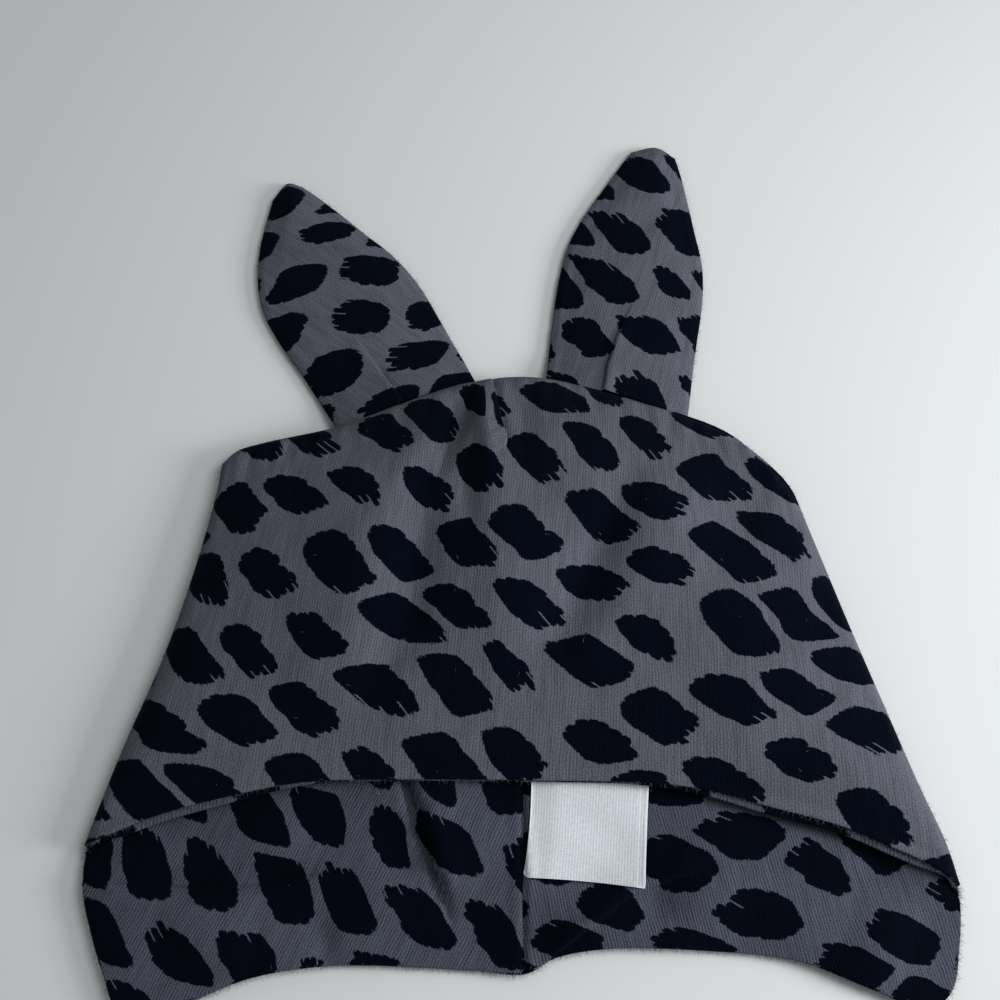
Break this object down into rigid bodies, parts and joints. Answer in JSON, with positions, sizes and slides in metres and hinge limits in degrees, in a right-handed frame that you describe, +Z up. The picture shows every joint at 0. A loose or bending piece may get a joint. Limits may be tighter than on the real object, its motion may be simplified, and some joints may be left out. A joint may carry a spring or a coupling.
{
  "type": "baby hat with ears",
  "caption": "Soft double-layer jersey baby hat lying flat, open at the brim, with a longer back edge and leaf-shaped ears on the crown seam.",
  "frame": {"origin": "middle of the hat's outline seen from above, on the surface that the hat lies on", "axes": "+X to the right, +Y from the open brim towards the ears, +Z up out of the surface"},
  "size_m": [0.185, 0.2092, 0.0227],
  "materials": {
    "printed_jersey": "slate grey cotton jersey printed with near-black brush dabs",
    "printed_jersey_lining": "the same printed jersey, right side out inside the hat",
    "woven_label": "white woven satin ribbon, bare"
  },
  "bodies": {
    "root": {"hat_body": "printed_jersey", "hat_lining": "printed_jersey_lining", "ear_left_front": "printed_jersey", "ear_left_back": "printed_jersey", "ear_right_front": "printed_jersey", "ear_right_back": "printed_jersey", "care_label": "woven_label"}
  },
  "joints": []
}
